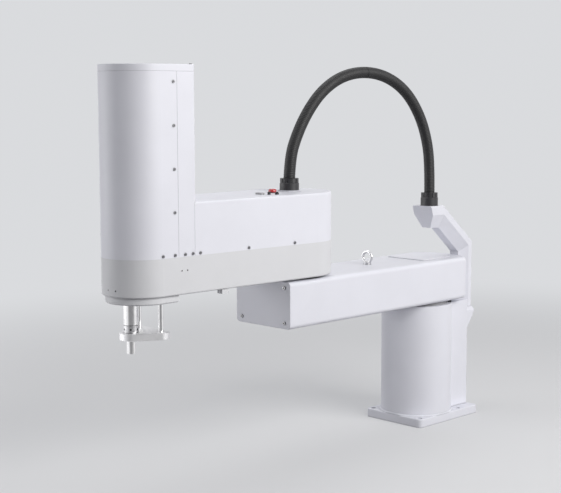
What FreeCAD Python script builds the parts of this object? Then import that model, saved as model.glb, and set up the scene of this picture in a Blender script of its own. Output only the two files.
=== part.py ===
import FreeCAD, Part
import math
import os
import re
import Sketcher
from FreeCAD import Placement, Rotation, Vector

# Four-axis SCARA robot, 600 + 600 mm arms, 420 mm vertical stroke.
# Millimetres and degrees. The origin is on the shoulder axis at the base's mounting face,
# +X runs along the stretched arm and +Z is up.

SIZES = {
    # Running fits and the visible gaps between parts
    "run_fit": 0.05,
    "swivel_gap": 0.3,
    "seam_gap": 0.6,
    # Base casting: foot plate, round column, square tower behind it
    "plate_front": 119.0,
    "plate_rear": 188.5,
    "plate_half": 118.0,
    "plate_thick": 27.5,
    "plate_corner": 14.0,
    "bolt_span": 200.0,
    "bolt_hole": 9.0,
    "column_round": 117.0,
    "column_bore": 105.0,
    "column_top": 391.0,
    "shoulder_gap": 10.0,
    "foot_flare": 5.0,
    "shelf_thick": 12.0,
    "shelf_bore": 60.0,
    "reducer_tall": 61.0,
    "tower_rear": 183.0,
    "tower_half": 76.0,
    "tower_drop": 5.0,
    "tower_wall": 8.0,
    "tower_corner": 6.0,
    "cable_window": 80.0,
    # Connector panel on the back of the tower
    "panel_half": 62.0,
    "panel_low": 44.0,
    "panel_high": 222.0,
    "panel_thick": 4.0,
    "panel_lap": 10.0,
    "power_plug_round": 17.0,
    "power_plug_long": 20.0,
    "signal_plug_wide": 54.0,
    "signal_plug_tall": 19.0,
    "signal_plug_long": 13.0,
    "port_round": 6.5,
    "port_bore": 3.0,
    "port_long": 18.0,
    "port_bore_deep": 14.0,
    # Cable duct from the tower into the bracket, and the bracket's screws
    "duct_half": 30.0,
    "duct_drop": 17.0,
    "duct_tall": 65.0,
    "heel_screw_side": 42.0,
    "heel_screw_drop": 14.0,
    "heel_screw_pitch": 48.0,
    # Cable bracket: a tapered hollow arm that rises behind the inner arm
    "bracket_back": 250.0,
    "bracket_half": 40.0,
    "nose_half": 17.0,
    "leg_deep": 50.0,
    "band_deep": 20.0,
    "bend_rise": 579.0,
    "bend_tilt": 35.0,
    "bend_deep": 61.0,
    "seat_back": 92.0,
    "seat_rise": 710.0,
    "throat_deep": 76.0,
    "head_front": 23.0,
    "head_tilt": 108.0,
    "head_deep": 78.0,
    "bracket_wall": 5.0,
    "bracket_edge": 4.0,
    "heel_half": 52.0,
    "heel_low": 242.0,
    "heel_tip": 338.0,
    "heel_top": 352.0,
    "heel_slope": 11.0,
    # Cable glands and conduit
    "gland_round": 29.0,
    "gland_bore": 14.0,
    "gland_spigot": 20.0,
    "gland_body": 28.0,
    "collar_round": 27.5,
    "collar_rise": 15.0,
    "notch_round": 2.2,
    "gland_back": 62.0,
    "arm_gland_body": 22.0,
    "arm_collar_rise": 13.0,
    "gland_plate_round": 34.0,
    "gland_plate_thick": 3.0,
    "conduit_round": 17.25,
    # Shoulder drive
    "shoulder_range": 125.0,
    "reducer_round": 92.0,
    "hub_round": 40.0,
    "hub_deep": 46.0,
    "shoulder_disc": 86.0,
    "motor_flange": 110.0,
    "motor_round": 50.0,
    "motor_tall": 156.0,
    "flange_thick": 10.0,
    "seal_round": 101.0,
    "seal_wide": 6.0,
    "stop_radius": 109.0,
    "stop_long": 14.0,
    "stop_wide": 11.0,
    "stop_pin": 5.0,
    "stop_lead": 7.0,
    # Inner arm: a hollow casting, closed at its front by an end plate
    "arm_reach": 600.0,
    "inner_lead": 104.2,
    "inner_tall": 139.0,
    "inner_half": 114.0,
    "inner_edge": 13.0,
    "inner_tail": 165.0,
    "inner_corner": 25.0,
    "inner_wall": 9.0,
    "inner_floor": 14.0,
    "cavity_back": 60.0,
    "rib_thick": 8.0,
    "rib_frame": 22.0,
    "rib_first": 190.0,
    "rib_pitch": 220.0,
    "end_plate_thick": 7.5,
    "end_plate_edge": 2.0,
    "end_screw_side": 90.0,
    "end_screw_rise": 51.5,
    "boss_size": 30.0,
    "boss_deep": 26.0,
    "hatch_back": 82.0,
    "hatch_front": 61.0,
    "hatch_half": 77.0,
    "hatch_thick": 3.0,
    "hatch_lap": 24.0,
    "hatch_corner": 8.0,
    "eye_place": 250.0,
    "eye_round": 17.5,
    "eye_wire": 5.0,
    "eye_rise": 23.5,
    "eye_collar": 12.5,
    "eye_collar_thick": 8.0,
    "eye_shank": 5.0,
    "eye_shank_long": 14.0,
    # Elbow drive
    "elbow_gap": 7.2,
    "seal_lip": 0.5,
    "elbow_flange": 94.0,
    "elbow_flange_thick": 12.0,
    "elbow_reducer_tall": 76.0,
    "elbow_hub_deep": 54.0,
    "elbow_disc": 70.0,
    "elbow_motor_round": 43.0,
    "elbow_motor_flange": 92.0,
    "elbow_motor_tall": 172.0,
    # Outer arm: grey tub with white covers over it
    "outer_reach": 600.0,
    "tub_tall": 101.8,
    "outer_tail": 124.0,
    "outer_nose": 102.6,
    "nose_back": 33.4,
    "tub_wall": 9.0,
    "tub_floor": 12.0,
    "tub_edge": 5.0,
    "tongue_rise": 16.0,
    "cover_wall": 3.0,
    "rear_cover_tall": 144.0,
    "rear_cover_edge": 5.0,
    "tall_cover_back": 143.0,
    "lap_lead": 6.0,
    "seam_back": 83.0,
    "lid_tall": 18.4,
    "lid_edge": 2.0,
    "lid_gap": 1.0,
    "lid_screw_inset": 8.0,
    "tall_corner": 6.0,
    "tap_round": 2.1,
    "tap_deep": 8.0,
    "tap_back": 111.3,
    "tap_pitch": 19.0,
    "tap_lift": 64.8,
    "nose_tap_low": 18.8,
    "nose_tap_turn": -3.0,
    "nose_tap_step": 16.3,
    "block_near": 345.0,
    "block_long": 23.0,
    "block_inner": 88.0,
    "block_wide": 20.0,
    "block_drop": 12.2,
    # Vertical axis
    "lift_stroke": 420.0,
    "stroke_gap": 3.0,
    "tool_round": 12.5,
    "shaft_out": 38.0,
    "shaft_groove_drop": 3.0,
    "shaft_groove_wide": 1.5,
    "shaft_groove_deep": 0.4,
    "tool_edge": 1.5,
    "quill_round": 19.7,
    "ring_round": 20.0,
    "ring_tall": 20.0,
    "ring_neck": 17.5,
    "ring_neck_tall": 2.0,
    "set_screw": 2.6,
    "set_screw_turn": -10.0,
    "link_drop": 122.2,
    "link_thick": 20.0,
    "link_front_round": 31.0,
    "link_rear_round": 23.0,
    "link_edge": 1.5,
    "rod_back": 64.4,
    "rod_side": 46.8,
    "rod_round": 7.0,
    "rod_seat": 2.0,
    "bush_round": 12.0,
    "bush_drop": 16.2,
    "bush_tall": 54.0,
    "quill_bush_round": 28.0,
    "mouth_round": 94.0,
    "mouth_tall": 20.2,
    "mouth_tail": 56.6,
    "mouth_edge": 3.0,
    "carriage_thick": 22.0,
    "carriage_half": 60.0,
    "carriage_lead": 34.0,
    "carriage_corner": 14.0,
    "tool_motor_round": 36.0,
    "tool_motor_tall": 106.0,
    "lead_screw_back": 100.0,
    "lead_screw_round": 10.0,
    "journal_round": 8.0,
    "journal_long": 10.0,
    "bearing_round": 15.0,
    "nut_round": 18.0,
    "nut_flange": 26.0,
    "nut_flange_thick": 8.0,
    "nut_drop": 12.0,
    "mast_gap": 4.0,
    "mast_thick": 8.0,
    "mast_half": 50.0,
    "mast_foot": 10.0,
    "mast_foot_long": 56.0,
    "mast_head_long": 68.0,
    "head_gap": 6.0,
    "lift_motor_wide": 60.0,
    "lift_motor_tall": 88.0,
    # Parts on top of the outer arm's rear cover
    "lamp_along": 90.0,
    "lamp_side": 20.0,
    "lamp_round": 12.0,
    "lamp_foot": 2.0,
    "lamp_rise": 10.0,
    "lamp_edge": 6.0,
    "button_along": 126.0,
    "button_side": 76.0,
    "button_round": 4.0,
    "button_rise": 8.0,
    "button_travel": 2.0,
    "bezel_round": 6.0,
    "bezel_rise": 5.0,
    "bezel_wall": 1.5,
    "bezel_floor": 2.0,
    "fitting_along": 148.0,
    "fitting_side": 66.0,
    "fitting_round": 4.5,
    "fitting_bore": 2.0,
    "fitting_rise": 8.0,
    "socket_along": 160.0,
    "socket_side": 41.0,
    "socket_long": 26.0,
    "socket_wide": 11.0,
    "socket_rise": 5.0,
    # Fasteners
    "cover_head": 4.0,
    "cover_head_tall": 2.0,
    "cover_shank": 1.9,
    "cover_shank_long": 7.0,
    "cover_screw_rise": 6.0,
    "cover_screw_a": 30.5,
    "cover_screw_b": 70.2,
    "cover_screw_c": 104.0,
    "cover_screw_d": 130.2,
    "cover_screw_e": 155.5,
    "cover_screw_f": 327.3,
    "cover_screw_g": 98.5,
    "seam_screw_lead": 12.2,
    "seam_screw_lift": 119.0,
    "seam_screw_pitch": 114.0,
    "end_head": 5.0,
    "end_head_tall": 3.2,
    "end_shank": 3.0,
    "end_shank_long": 18.0,
    "bolt_head": 6.5,
    "bolt_head_tall": 6.0,
    "bolt_shank": 3.9,
    "bolt_shank_long": 12.0,
    "drill_gap": 0.2,
    # Small shared details
    "cast_edge": 2.0,
    "spigot_long": 12.0,
    "collar_notch": 30.0,
}

# Places that follow from the sizes above
FOLLOWING = {
    "shelf_high": "column_top - reducer_tall",
    "shelf_low": "shelf_high - shelf_thick",
    "tower_top": "column_top - tower_drop",
    "duct_high": "heel_top - duct_drop",
    "duct_low": "duct_high - duct_tall",
    "heel_screw_high": "heel_top - heel_screw_drop",
    "heel_screw_low": "heel_screw_high - heel_screw_pitch",
    "inner_low": "column_top + shoulder_gap",
    "inner_high": "inner_low + inner_tall",
    "inner_front": "arm_reach + inner_lead",
    "rib_second": "rib_first + rib_pitch",
    "outer_low": "inner_high + elbow_gap",
    "outer_split": "outer_low + tub_tall",
    "rear_cover_top": "outer_split + rear_cover_tall",
    "nose_place": "outer_reach - nose_back",
    "tall_back": "outer_reach - tall_cover_back",
    "lap_place": "tall_back + lap_lead",
    "tall_seam": "outer_reach - seam_back",
    "tap_first": "outer_reach - tap_back",
    "tap_rise": "outer_low + tap_lift",
    "block_far": "block_near + block_long",
    "block_outer": "block_inner + block_wide",
    "block_low": "outer_low - block_drop",
    "mouth_low": "outer_low - mouth_tall",
    "mouth_back": "nose_place - mouth_tail",
    "bush_low": "outer_low - bush_drop",
    "bush_high": "bush_low + bush_tall",
    "carriage_low": "bush_high + stroke_gap + lift_stroke",
    "quill_top": "carriage_low + carriage_thick",
    "mast_back": "tall_back + cover_wall + mast_gap",
    "mast_foot_front": "mast_back + mast_foot_long",
    "mast_head_front": "mast_back + mast_head_long",
    "mast_head_low": "quill_top + head_gap",
    "carriage_back": "mast_back + mast_thick + mast_gap",
    "carriage_front": "outer_reach + carriage_lead",
    "tall_lid_low": "quill_top + tool_motor_tall + lid_gap",
    "tall_top": "tall_lid_low + lid_tall",
    "link_low": "outer_low - link_drop",
    "ring_low": "link_low + link_thick",
    "quill_low": "ring_low + ring_tall + ring_neck_tall",
    "tool_low": "link_low - shaft_out",
    "tool_axis": "arm_reach + outer_reach",
    "screw_axis": "tool_axis - lead_screw_back",
    "lid_screw_along": "tall_back + lid_screw_inset",
    "seam_screw_along": "tall_seam + seam_screw_lead",
    "seam_screw_low": "outer_split + seam_screw_lift",
}

document = FreeCAD.newDocument("scara_robot")
sheet = document.addObject("Spreadsheet::Sheet", "size")
cells = {alias: str(amount) for alias, amount in SIZES.items()}
cells.update({alias: "=" + formula for alias, formula in FOLLOWING.items()})
for row, alias in enumerate(cells, start=1):
    sheet.set("A%d" % row, alias)
    sheet.setAlias("B%d" % row, alias)
for row, alias in enumerate(cells, start=1):
    sheet.set("B%d" % row, cells[alias])
document.recompute()

parts = {}

# Formulas that several parts share. The outer arm's outline is two circles and their tangents.
LEAN = "((outer_tail - outer_nose) / nose_place)"
FLAT = "sqrt(1 - %s ^ 2)" % LEAN
TAIL_START = "sqrt(inner_tail ^ 2 - inner_half ^ 2)"
TUB_TOP_FLOOR = "(outer_low + tub_floor)"
INNER_MIDDLE = "((inner_low + inner_high) / 2)"


def bound(text):
    """The expression with each size's name pointed at the sheet."""
    return re.sub(r"\b([a-z]+(?:_[a-z]+)+)\b", r"size.\1", str(text))


def number(text):
    """The value of an expression, in millimetres or degrees."""
    found = sheet.evalExpression(str(text))
    return float(getattr(found, "Value", found))


def side_at(along, inset="0"):
    """Half-width of the outer arm's outline at a distance from the elbow."""
    return "((outer_tail - (%s) - (%s) * %s) / %s)" % (inset, along, LEAN, FLAT)


def set_place(thing, along="0", side="0", rise="0", turn=None):
    """Bind a placement to the sheet, after an optional fixed turn."""
    if turn is not None:
        thing.Placement = Placement(Vector(), turn)
    for axis, text in (("x", along), ("y", side), ("z", rise)):
        thing.setExpression("Placement.Base." + axis, bound(text))


# Sketches and features


def new_body(label, along="0", side="0", rise="0"):
    body = document.addObject("PartDesign::Body", label)
    body.Label = label
    set_place(body, along, side, rise)
    parts[label] = body
    return body


def new_sketch(body, plane="XY_Plane", lift="0"):
    sketch = body.newObject("Sketcher::SketchObject", "sketch")
    support = [item for item in body.Origin.OriginFeatures if item.Role == plane][0]
    sketch.AttachmentSupport = (support, [""])
    sketch.MapMode = "FlatFace"
    sketch.setExpression("AttachmentOffset.Base.z", bound(lift))
    return sketch


def pin_point(sketch, index, corner, along, side):
    """Fix one point of a sketch's line or circle with two bound distances."""
    for kind, text in (("DistanceX", along), ("DistanceY", side)):
        rule = sketch.addConstraint(Sketcher.Constraint(kind, -1, 1, index, corner, number(text)))
        sketch.setExpression("Constraints[%d]" % rule, bound(text))


def draw_outline(sketch, corners):
    """Draw a closed outline, counter-clockwise. A corner is (x, y), or (x, y, radius, cx, cy)
    where a round stretch about (cx, cy) arrives at it."""
    first = sketch.GeometryCount
    count = len(corners)
    flat = [Vector(number(c[0]), number(c[1]), 0) for c in corners]
    for step in range(count):
        start, end = flat[step], flat[(step + 1) % count]
        target = corners[(step + 1) % count]
        if len(target) == 2:
            sketch.addGeometry(Part.LineSegment(start, end), False)
            continue
        centre = Vector(number(target[3]), number(target[4]), 0)
        circle = Part.Circle(centre, Vector(0, 0, 1), number(target[2]))
        turns = [math.atan2(p.y - centre.y, p.x - centre.x) for p in (start, end)]
        sketch.addGeometry(Part.ArcOfCircle(circle, turns[0], turns[1]), False)
    for step in range(count):
        follower = first + (step + 1) % count
        sketch.addConstraint(Sketcher.Constraint("Coincident", first + step, 2, follower, 1))
    for step in range(count):
        pin_point(sketch, first + step, 1, corners[step][0], corners[step][1])
        target = corners[(step + 1) % count]
        if len(target) > 2:
            chord = flat[(step + 1) % count] - flat[step]
            kind, text = "DistanceX", target[3]
            if abs(chord.x) > abs(chord.y) + 0.01:
                kind, text = "DistanceY", target[4]
            rule = sketch.addConstraint(
                Sketcher.Constraint(kind, -1, 1, first + step, 3, number(text))
            )
            sketch.setExpression("Constraints[%d]" % rule, bound(text))


def draw_box(sketch, low_x, high_x, low_y, high_y):
    draw_outline(sketch, [(low_x, low_y), (high_x, low_y), (high_x, high_y), (low_x, high_y)])


def draw_circle(sketch, along, side, radius):
    centre = Vector(number(along), number(side), 0)
    index = sketch.addGeometry(Part.Circle(centre, Vector(0, 0, 1), number(radius)), False)
    pin_point(sketch, index, 3, along, side)
    rule = sketch.addConstraint(Sketcher.Constraint("Radius", index, number(radius)))
    sketch.setExpression("Constraints[%d]" % rule, bound(radius))


def draw_rounded_box(sketch, half_wide, low, high, corner):
    """An upright rectangle with round corners, about the sketch's vertical axis."""
    flat_side = "((%s) - (%s))" % (half_wide, corner)
    flat_low = "((%s) + (%s))" % (low, corner)
    flat_high = "((%s) - (%s))" % (high, corner)
    far_side = "(%s)" % half_wide
    draw_outline(
        sketch,
        [
            ("-" + flat_side, low, corner, "-" + flat_side, flat_low),
            (flat_side, low),
            (far_side, flat_low, corner, flat_side, flat_low),
            (far_side, flat_high),
            (flat_side, high, corner, flat_side, flat_high),
            ("-" + flat_side, high),
            ("-" + far_side, flat_high, corner, "-" + flat_side, flat_high),
            ("-" + far_side, flat_low),
        ],
    )


def draw_arm(sketch, inset="0", back=None, front=None):
    """The outer arm's outline, drawn in by an inset and cut off at a back or front line."""
    tail = "(outer_tail - (%s))" % inset
    nose = "(outer_nose - (%s))" % inset
    tail_touch = ("(%s * %s)" % (tail, LEAN), "(%s * %s)" % (tail, FLAT))
    nose_touch = ("(nose_place + %s * %s)" % (nose, LEAN), "(%s * %s)" % (nose, FLAT))
    corners = []
    if front is None:
        corners.append((nose_touch[0], "-" + nose_touch[1]))
        corners.append((nose_touch[0], nose_touch[1], nose, "nose_place", "0"))
    else:
        corners.append((front, "-" + side_at(front, inset)))
        corners.append((front, side_at(front, inset)))
    if back is None:
        corners.append(tail_touch)
        corners.append((tail_touch[0], "-" + tail_touch[1], tail, "0", "0"))
    else:
        corners.append((back, side_at(back, inset)))
        corners.append((back, "-" + side_at(back, inset)))
    draw_outline(sketch, corners)


def pad(body, sketch, length, symmetric=False, backward=False):
    feature = body.newObject("PartDesign::Pad", "pad")
    feature.Profile = sketch
    feature.setExpression("Length", bound(length))
    feature.Reversed = backward
    if symmetric:
        feature.SideType = "Symmetric"
    document.recompute()
    return feature


def pocket(body, sketch, length=None, backward=False, symmetric=False):
    """Cut a sketch into the body, right through where no length is given."""
    before = body.Shape.Volume
    feature = body.newObject("PartDesign::Pocket", "pocket")
    feature.Profile = sketch
    feature.Reversed = backward
    if symmetric:
        feature.SideType = "Symmetric"
    if length is None:
        feature.Type = "ThroughAll"
    else:
        feature.setExpression("Length", bound(length))
    document.recompute()
    if body.Shape.Volume >= before:
        raise RuntimeError("a pocket in %s cuts nothing" % body.Label)
    return feature


def edges_where(shape, test):
    return ["Edge%d" % i for i, edge in enumerate(shape.Edges, start=1) if test(edge)]


def soften(body, kind, amount, test):
    """Fillet or chamfer the edges of a body that pass a test."""
    base = body.Tip
    names = edges_where(base.Shape, test)
    feature = body.newObject("PartDesign::" + kind, kind.lower())
    feature.Base = (base, names)
    feature.setExpression("Radius" if kind == "Fillet" else "Size", bound(amount))
    document.recompute()
    return feature


def near(value, text, allowance=0.01):
    return abs(value - number(text)) < allowance


def flat_at(edge, rise):
    """Whether an edge lies level at a height of its own body."""
    return all(near(vertex.Z, rise) for vertex in edge.Vertexes)


def upright_at(edge, along=None):
    """Whether an edge is vertical, and at a given x if one is named."""
    if len(edge.Vertexes) != 2:
        return False
    low, high = edge.Vertexes
    if abs(low.X - high.X) > 0.01 or abs(low.Y - high.Y) > 0.01:
        return False
    return along is None or near(low.X, along)


def drill(body, plane, lift, spots, radius, depth, backward=False):
    """Round holes of one size, in one sketch."""
    sketch = new_sketch(body, plane, lift)
    for along, side in spots:
        draw_circle(sketch, along, side, radius)
    return pocket(body, sketch, depth, backward)


# Primitives and booleans


def cylinder(radius, tall, along="0", side="0", rise="0", turn=None):
    shape = document.addObject("Part::Cylinder", "cylinder")
    shape.setExpression("Radius", bound(radius))
    shape.setExpression("Height", bound(tall))
    set_place(shape, along, side, rise, turn)
    return shape


def block(long, wide, tall, along="0", side="0", rise="0"):
    """A box from its middle in x and y, standing on its height."""
    shape = document.addObject("Part::Box", "block")
    shape.setExpression("Length", bound(long))
    shape.setExpression("Width", bound(wide))
    shape.setExpression("Height", bound(tall))
    half_long, half_wide = "(%s) / 2" % long, "(%s) / 2" % wide
    set_place(shape, "(%s) - %s" % (along, half_long), "(%s) - %s" % (side, half_wide), rise)
    return shape


def fused(*shapes):
    result = document.addObject("Part::MultiFuse", "fused")
    result.Shapes = list(shapes)
    return result


def cut(base, *tools):
    result = document.addObject("Part::Cut", "cut")
    result.Base = base
    result.Tool = tools[0] if len(tools) == 1 else fused(*tools)
    return result


def group(shapes):
    result = document.addObject("Part::Compound", "group")
    result.Links = list(shapes)
    return result


def name_part(label, shape):
    shape.Label = label
    parts[label] = shape
    return shape


def tube(outer, inner, tall, along="0", side="0", rise="0"):
    shell = cylinder(outer, tall, along, side, rise)
    return cut(shell, cylinder(inner, tall, along, side, rise))


def screw(kind, along, side, rise, turn):
    """A socket-head screw. Its head's underside is at the point, its head along the turned +Z."""
    head = cylinder(kind + "_head", kind + "_head_tall", along, side, rise, turn)
    way = turn.multVec(Vector(0, 0, 1))
    back = [
        "(%s) - (%s) * %.9f" % (text, kind + "_shank_long", way_part)
        for text, way_part in zip((along, side, rise), way)
    ]
    shank = cylinder(kind + "_shank", kind + "_shank_long", *back, turn)
    socket = document.addObject("Part::Prism", "socket")
    socket.Polygon = 6
    socket.setExpression("Circumradius", bound(kind + "_head * 0.5"))
    socket.setExpression("Height", bound(kind + "_head_tall"))
    out = [
        "(%s) + (%s) * %.9f" % (text, kind + "_head_tall * 0.4", way_part)
        for text, way_part in zip((along, side, rise), way)
    ]
    set_place(socket, *out, turn)
    return cut(fused(head, shank), socket)


TO_UP = Rotation()
TO_FRONT = Rotation(Vector(0, 1, 0), 90)
TO_BACK = Rotation(Vector(0, 1, 0), -90)


# Base

base = new_body("base_casting")
sketch = new_sketch(base)
draw_box(sketch, "-plate_rear", "plate_front", "-plate_half", "plate_half")
pad(base, sketch, "plate_thick")
soften(base, "Fillet", "plate_corner", upright_at)
soften(base, "Chamfer", "cast_edge", lambda edge: flat_at(edge, "plate_thick"))
sketch = new_sketch(base)
draw_box(sketch, "-tower_rear", "-cavity_back", "-tower_half", "tower_half")
pad(base, sketch, "tower_top")
soften(base, "Fillet", "tower_corner",
       lambda e: upright_at(e, "-tower_rear") and e.Length > number("heel_low"))
soften(
    base, "Chamfer", "cast_edge", lambda e: flat_at(e, "tower_top") and e.BoundBox.XMin < -number("column_round")
)
sketch = new_sketch(base)
draw_circle(sketch, "0", "0", "column_round")
pad(base, sketch, "column_top")
flare = new_sketch(base, lift="plate_thick")
draw_circle(flare, "0", "0", "column_round + foot_flare")
pad(base, flare, "foot_flare")
soften(base, "Chamfer", "foot_flare * 0.9",
       lambda e: flat_at(e, "plate_thick + foot_flare") and e.BoundBox.XMax > number("column_round") + 1)
sketch = new_sketch(base, lift="plate_thick")
draw_box(sketch, "-plate_rear * 2", "plate_front * 2", "-plate_half * 2", "plate_half * 2")
draw_box(sketch, "-plate_rear + cast_edge", "plate_front - cast_edge / 4",
         "cast_edge / 4 - plate_half", "plate_half - cast_edge / 4")
pocket(base, sketch, "foot_flare", backward=True)
drill(base, "XY_Plane", "0", [("0", "0")], "column_bore", "shelf_low", backward=True)
drill(base, "XY_Plane", "0", [("0", "0")], "shelf_bore", "shelf_high + 1", backward=True)
drill(base, "XY_Plane", "column_top", [("0", "0")], "reducer_round + drill_gap",
      "column_top - shelf_high")
# The tower is hollow, with a window into the column, one behind the panel and one for the bracket
sketch = new_sketch(base)
draw_box(sketch, "tower_wall - tower_rear", "-column_round - 2", "tower_wall - tower_half",
         "tower_half - tower_wall")
pocket(base, sketch, "tower_top - tower_wall", backward=True)
sketch = new_sketch(base, "YZ_Plane", "-column_round + column_bore / 2")
draw_rounded_box(sketch, "cable_window / 2", "cable_window", "cable_window * 2", "plate_corner")
pocket(base, sketch, "column_bore / 2 + tower_wall")
sketch = new_sketch(base, "YZ_Plane", "tower_wall * 2 - tower_rear")
draw_rounded_box(sketch, "panel_half - panel_lap", "panel_low + panel_lap",
                 "panel_high - panel_lap", "tower_corner")
pocket(base, sketch, "tower_wall * 3")
sketch = new_sketch(base, "YZ_Plane", "tower_wall * 2 - tower_rear")
draw_box(sketch, "-duct_half", "duct_half", "duct_low", "duct_high")
pocket(base, sketch, "tower_wall * 3")
HALF_SPAN = "bolt_span / 2"
bolt_spots = [(a + HALF_SPAN, b + HALF_SPAN) for a in ("", "-") for b in ("", "-")]
drill(base, "XY_Plane", "plate_thick", bolt_spots, "bolt_hole", None)
PANEL_SIDE = "panel_half - panel_lap / 2"
PANEL_SPOTS = [
    ("%s(%s)" % (sign, PANEL_SIDE), rise)
    for sign in ("", "-")
    for rise in ("panel_low + panel_lap / 2", "panel_high - panel_lap / 2")
]
drill(base, "YZ_Plane", "-tower_rear", PANEL_SPOTS, "cover_shank + drill_gap",
      "cover_shank_long", backward=True)
BRACKET_SPOTS = [(sign + "heel_screw_side", rise) for sign in ("", "-")
                 for rise in ("heel_screw_low", "heel_screw_high")]
drill(base, "YZ_Plane", "-tower_rear", BRACKET_SPOTS, "bolt_shank + drill_gap",
      "tower_wall + 1", backward=True)

panel = new_body("rear_panel")
sketch = new_sketch(panel, "YZ_Plane", "-tower_rear")
draw_rounded_box(sketch, "panel_half", "panel_low", "panel_high", "tower_corner")
pad(panel, sketch, "panel_thick", backward=True)
drill(panel, "YZ_Plane", "-tower_rear", PANEL_SPOTS, "cover_shank + drill_gap", None)

PANEL_FACE = "-(tower_rear + panel_thick)"
panel_screws = [screw("cover", PANEL_FACE, side, rise, TO_BACK) for side, rise in PANEL_SPOTS]
name_part("panel_screws", group(panel_screws))

POWER_SIDE, POWER_RISE = "-panel_half / 3", "panel_low + panel_half / 2"
power_foot = cylinder("power_plug_round + 4", "panel_thick", PANEL_FACE, POWER_SIDE, POWER_RISE, TO_BACK)
power_shell = cylinder("power_plug_round", "power_plug_long", PANEL_FACE, POWER_SIDE, POWER_RISE, TO_BACK)
power_bore = cylinder("power_plug_round - 3", "power_plug_long", PANEL_FACE + " - panel_thick", POWER_SIDE,
                      POWER_RISE, TO_BACK)
name_part("power_connector", cut(fused(power_foot, power_shell), power_bore))

SIGNAL_RISE = "panel_high - panel_half / 2"
signal_shell = block("signal_plug_long", "signal_plug_wide", "signal_plug_tall",
                     PANEL_FACE + " - signal_plug_long / 2", "0", SIGNAL_RISE)
signal_slot = block("signal_plug_long", "signal_plug_wide - 8", "signal_plug_tall - 8",
                    PANEL_FACE + " - signal_plug_long * 0.8", "0", SIGNAL_RISE + " + 4")
name_part("signal_connector", cut(signal_shell, signal_slot))

ports = []
for side in ("panel_half / 6", "panel_half / 2"):
    shell = cylinder("port_round", "port_long", PANEL_FACE, side, POWER_RISE, TO_BACK)
    hole = cylinder("port_bore", "port_bore_deep", PANEL_FACE + " - (port_long - port_bore_deep)",
                    side, POWER_RISE, TO_BACK)
    ports.append(cut(shell, hole))
name_part("base_air_ports", group(ports))

# Cable bracket: sections across the arm, each set by its top corner, its tilt and its depth
bracket = new_body("cable_bracket")
LEG_LOW = "heel_top - plate_corner"
BRACKET_LINE = [
    ("-bracket_back", LEG_LOW, "0", "leg_deep"),
    ("-bracket_back", "bend_rise", "bend_tilt", "bend_deep"),
    ("-seat_back", "seat_rise", "90", "throat_deep"),
    ("-head_front", "seat_rise", "head_tilt", "head_deep"),
]


def bracket_sections(body, wall, line):
    """The bracket's sections, drawn in by a wall."""
    found = []
    for along, rise, tilt, deep in line:
        section = body.newObject("Sketcher::SketchObject", "section")
        plane = [item for item in body.Origin.OriginFeatures if item.Role == "XY_Plane"][0]
        section.AttachmentSupport = (plane, [""])
        section.MapMode = "FlatFace"
        section.setExpression("AttachmentOffset.Base.x", bound(along))
        section.setExpression("AttachmentOffset.Base.z", bound(rise))
        turn = Rotation(Vector(0, 1, 0), number(tilt))
        where = Vector(number(along), 0, number(rise))
        section.AttachmentOffset = Placement(where, turn)
        band = "(%s) * band_deep / leg_deep" % deep
        wide, nose = "(bracket_half - (%s))" % wall, "(nose_half - (%s))" % wall
        start, far = "(%s)" % wall, "((%s) - (%s))" % (deep, wall)
        draw_outline(section, [
            (start, "-(%s - bracket_edge)" % wide),
            ("%s + bracket_edge" % start, "-" + wide),
            (band, "-" + wide),
            (far, "-" + nose),
            (far, nose),
            (band, wide),
            ("%s + bracket_edge" % start, wide),
            (start, "%s - bracket_edge" % wide),
        ])
        found.append(section)
    return found


def loft(body, kind, sections):
    feature = body.newObject("PartDesign::" + kind, kind.lower())
    feature.Profile = sections[0]
    feature.Sections = sections[1:]
    feature.Ruled = True
    document.recompute()
    return feature


loft(bracket, "AdditiveLoft", bracket_sections(bracket, "0", BRACKET_LINE))
sketch = new_sketch(bracket, "XZ_Plane")
draw_outline(sketch, [
    ("-bracket_back", "heel_tip"),
    ("-tower_rear", "heel_low"),
    ("-tower_rear", "heel_top"),
    ("-bracket_back", "heel_top"),
])
pad(bracket, sketch, "2 * heel_half", symmetric=True)
soften(
    bracket,
    "Chamfer",
    "heel_slope",
    lambda e: flat_at(e, "heel_top") and abs(e.Vertexes[0].Y - e.Vertexes[1].Y) < 0.01
    and near(abs(e.Vertexes[0].Y), "heel_half"),
)
hollow_line = list(BRACKET_LINE)
hollow_line[3] = ("-(head_front + bracket_wall + 1)", "seat_rise", "head_tilt", "head_deep")
loft(bracket, "SubtractiveLoft", bracket_sections(bracket, "bracket_wall", hollow_line))
sketch = new_sketch(bracket, "XZ_Plane")
draw_outline(sketch, [
    ("bracket_wall - bracket_back", "heel_top - 2"),
    ("-tower_rear", "duct_low"),
    ("-tower_rear", "duct_high"),
    ("leg_deep - bracket_back - bracket_wall", "heel_top - 2"),
])
pocket(bracket, sketch, "2 * duct_half", symmetric=True)
drill(bracket, "XY_Plane", "seat_rise", [("-gland_back", "0")], "gland_spigot + drill_gap",
      "bracket_wall * 2")
drill(bracket, "YZ_Plane", "-tower_rear", BRACKET_SPOTS, "bolt_shank + drill_gap",
      "bolt_shank_long - tower_wall + 2")

bracket_bolts = [screw("bolt", "tower_wall - tower_rear", side, rise, TO_FRONT)
                 for side, rise in BRACKET_SPOTS]
name_part("bracket_screws", group(bracket_bolts))


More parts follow.
